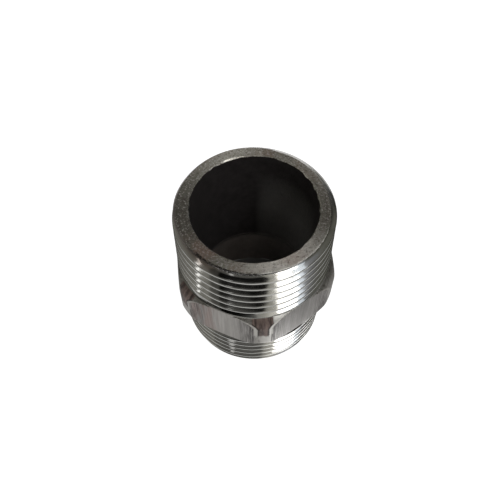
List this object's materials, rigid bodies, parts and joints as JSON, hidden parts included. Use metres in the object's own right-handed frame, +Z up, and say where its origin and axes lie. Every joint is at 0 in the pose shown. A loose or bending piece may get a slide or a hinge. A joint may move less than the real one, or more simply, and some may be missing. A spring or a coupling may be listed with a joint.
{
  "type": "hex nipple",
  "caption": "Pipe nipple with a tapered male pipe thread on each end, a hexagon for a wrench in the middle and a plain bore right through.",
  "frame": {"origin": "middle of the lower end face", "axes": "+Z up along the bore axis, out of the upper end; the wrench flats face -52.5 degrees and every 60 degrees from it, counted from +X about +Z"},
  "size_m": [0.0354, 0.037, 0.041],
  "materials": {
    "carbon_steel": "machined, with dark mill scale at the hexagon's corners and in the bore"
  },
  "bodies": {
    "root": {"nipple_body": "carbon_steel"}
  },
  "joints": []
}
